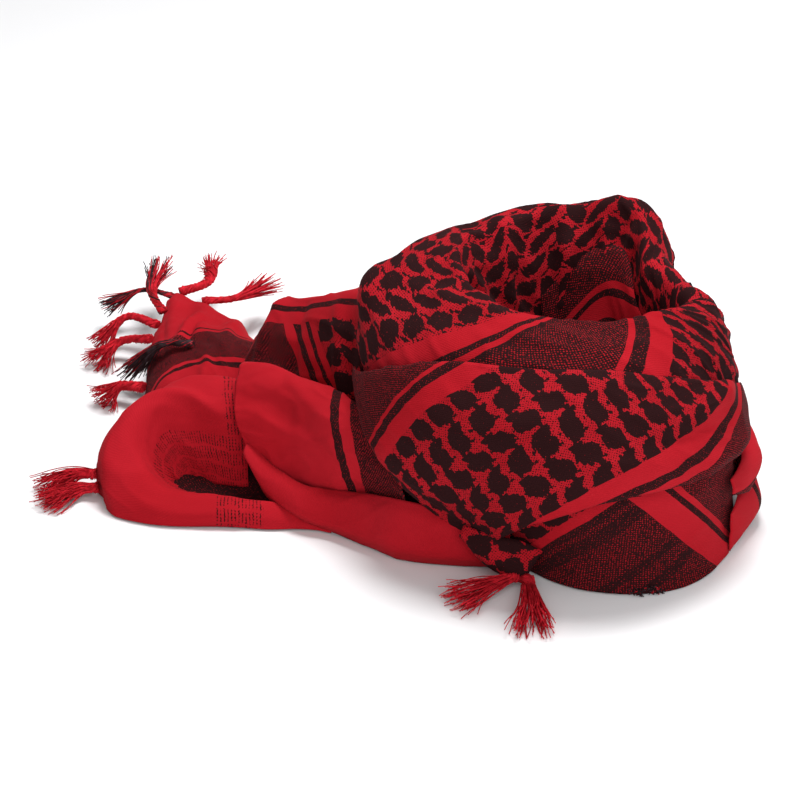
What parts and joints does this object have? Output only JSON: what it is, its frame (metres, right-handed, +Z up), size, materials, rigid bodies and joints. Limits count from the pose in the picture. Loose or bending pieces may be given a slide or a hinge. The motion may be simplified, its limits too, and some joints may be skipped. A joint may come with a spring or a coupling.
{
  "type": "woven scarf",
  "caption": "Square woven cotton scarf with knotted tassels, wound into a neck loop with both ends laid out to one side.",
  "frame": {"origin": "middle of the box round the whole scarf, on the surface it lies on", "axes": "+Z up, +X towards the neck loop and away from the two ends, +Y towards the back"},
  "size_m": [0.5054, 0.5158, 0.1975],
  "materials": {
    "layers": "woven cotton",
    "patterned": "woven cotton, red and black pattern",
    "striped": "woven cotton, red with dark stripes",
    "plain": "woven cotton, plain red",
    "tassels": "twisted cotton thread"
  },
  "bodies": {
    "root": {"hidden_layers": "layers", "loop_back": "patterned", "loop_front": "patterned", "front_drape": "patterned", "under_drape": "patterned", "right_fold_upper": "striped", "right_fold_lower": "plain", "inner_fold": "striped", "front_tail_flap": "plain", "front_tail_hem": "plain", "front_tail_mouth": "plain", "front_corner_hem": "plain", "rear_tail_fold": "striped", "rear_tail_end": "plain", "tassel_rear_black": "tassels", "tassel_rear_left": "tassels", "tassel_rear_tall": "tassels", "tassel_rear_right": "tassels", "tassel_rear_upper": "tassels", "tassel_rear_lower": "tassels", "tassel_rear_knot": "tassels", "tassel_between_tails": "tassels", "tassel_left_upper": "tassels", "tassel_left_lower": "tassels", "tassel_front_left": "tassels", "tassel_front_right": "tassels"}
  },
  "joints": []
}
